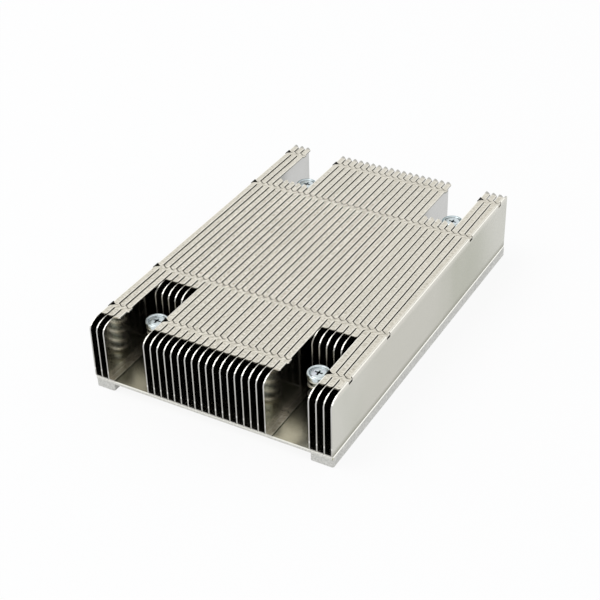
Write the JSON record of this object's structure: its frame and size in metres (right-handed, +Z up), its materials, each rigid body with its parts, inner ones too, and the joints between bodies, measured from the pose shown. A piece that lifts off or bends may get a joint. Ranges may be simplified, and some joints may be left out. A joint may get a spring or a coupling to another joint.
{
  "type": "passive processor heatsink",
  "caption": "Low passive processor heatsink: folded interlocked fins on a railed base plate, with sprung captive screws standing in corner notches.",
  "frame": {"origin": "middle of the part in plan, on the plane the two base rails rest on", "axes": "+Z up out of the fins, +Y along the fins toward the rear end, +X across the fins toward the wall fin"},
  "size_m": [0.0822, 0.126, 0.024],
  "materials": {
    "base_metal": "milled, thin nickel plating",
    "fin_sheet": "smooth folded sheet, warm nickel sheen",
    "screw_zinc": "bright zinc, slightly blue",
    "spring_wire": "plain drawn wire",
    "ring_steel": "dark spring steel"
  },
  "bodies": {
    "sink": {"base_plate": "base_metal", "fin_01": "fin_sheet", "fin_02": "fin_sheet", "fin_03": "fin_sheet", "fin_04": "fin_sheet", "fin_05": "fin_sheet", "fin_06": "fin_sheet", "fin_07": "fin_sheet", "fin_08": "fin_sheet", "fin_09": "fin_sheet", "fin_10": "fin_sheet", "fin_11": "fin_sheet", "fin_12": "fin_sheet", "fin_13": "fin_sheet", "fin_14": "fin_sheet", "fin_15": "fin_sheet", "fin_16": "fin_sheet", "fin_17": "fin_sheet", "fin_18": "fin_sheet", "fin_19": "fin_sheet", "fin_20": "fin_sheet", "fin_21": "fin_sheet", "fin_22": "fin_sheet", "fin_23": "fin_sheet", "fin_24": "fin_sheet", "fin_25": "fin_sheet", "fin_26": "fin_sheet", "fin_27": "fin_sheet", "fin_28": "fin_sheet", "fin_29": "fin_sheet", "fin_30": "fin_sheet", "fin_31": "fin_sheet", "fin_32": "fin_sheet", "fin_33": "fin_sheet", "fin_34": "fin_sheet", "fin_35": "fin_sheet", "spring_front_left": "spring_wire", "spring_front_right": "spring_wire", "spring_rear_left": "spring_wire", "spring_rear_right": "spring_wire"},
    "press_front_left": {"ring_front_left": "ring_steel"},
    "turn_front_left": {"screw_front_left": "screw_zinc"},
    "press_front_right": {"ring_front_right": "ring_steel"},
    "turn_front_right": {"screw_front_right": "screw_zinc"},
    "press_rear_left": {"ring_rear_left": "ring_steel"},
    "turn_rear_left": {"screw_rear_left": "screw_zinc"},
    "press_rear_right": {"ring_rear_right": "ring_steel"},
    "turn_rear_right": {"screw_rear_right": "screw_zinc"}
  },
  "joints": [
    {"name": "press_front_left", "type": "slide", "parent": "sink", "child": "press_front_left", "axis": [0, 0, -1], "range_m": [0, 0.0035], "stiffness_N_per_m": 9000, "springref_m": -0.0028, "deforming": ["spring_front_left"]},
    {"name": "turn_front_left", "type": "hinge", "parent": "press_front_left", "child": "turn_front_left", "pos_m": [-0.028, -0.047, 0.0027], "axis": [0, 0, 1], "continuous": true},
    {"name": "press_front_right", "type": "slide", "parent": "sink", "child": "press_front_right", "axis": [0, 0, -1], "range_m": [0, 0.0035], "stiffness_N_per_m": 9000, "springref_m": -0.0028, "deforming": ["spring_front_right"]},
    {"name": "turn_front_right", "type": "hinge", "parent": "press_front_right", "child": "turn_front_right", "pos_m": [0.028, -0.047, 0.0027], "axis": [0, 0, 1], "continuous": true},
    {"name": "press_rear_left", "type": "slide", "parent": "sink", "child": "press_rear_left", "axis": [0, 0, -1], "range_m": [0, 0.0035], "stiffness_N_per_m": 9000, "springref_m": -0.0028, "deforming": ["spring_rear_left"]},
    {"name": "turn_rear_left", "type": "hinge", "parent": "press_rear_left", "child": "turn_rear_left", "pos_m": [-0.028, 0.047, 0.0027], "axis": [0, 0, 1], "continuous": true},
    {"name": "press_rear_right", "type": "slide", "parent": "sink", "child": "press_rear_right", "axis": [0, 0, -1], "range_m": [0, 0.0035], "stiffness_N_per_m": 9000, "springref_m": -0.0028, "deforming": ["spring_rear_right"]},
    {"name": "turn_rear_right", "type": "hinge", "parent": "press_rear_right", "child": "turn_rear_right", "pos_m": [0.028, 0.047, 0.0027], "axis": [0, 0, 1], "continuous": true}
  ]
}
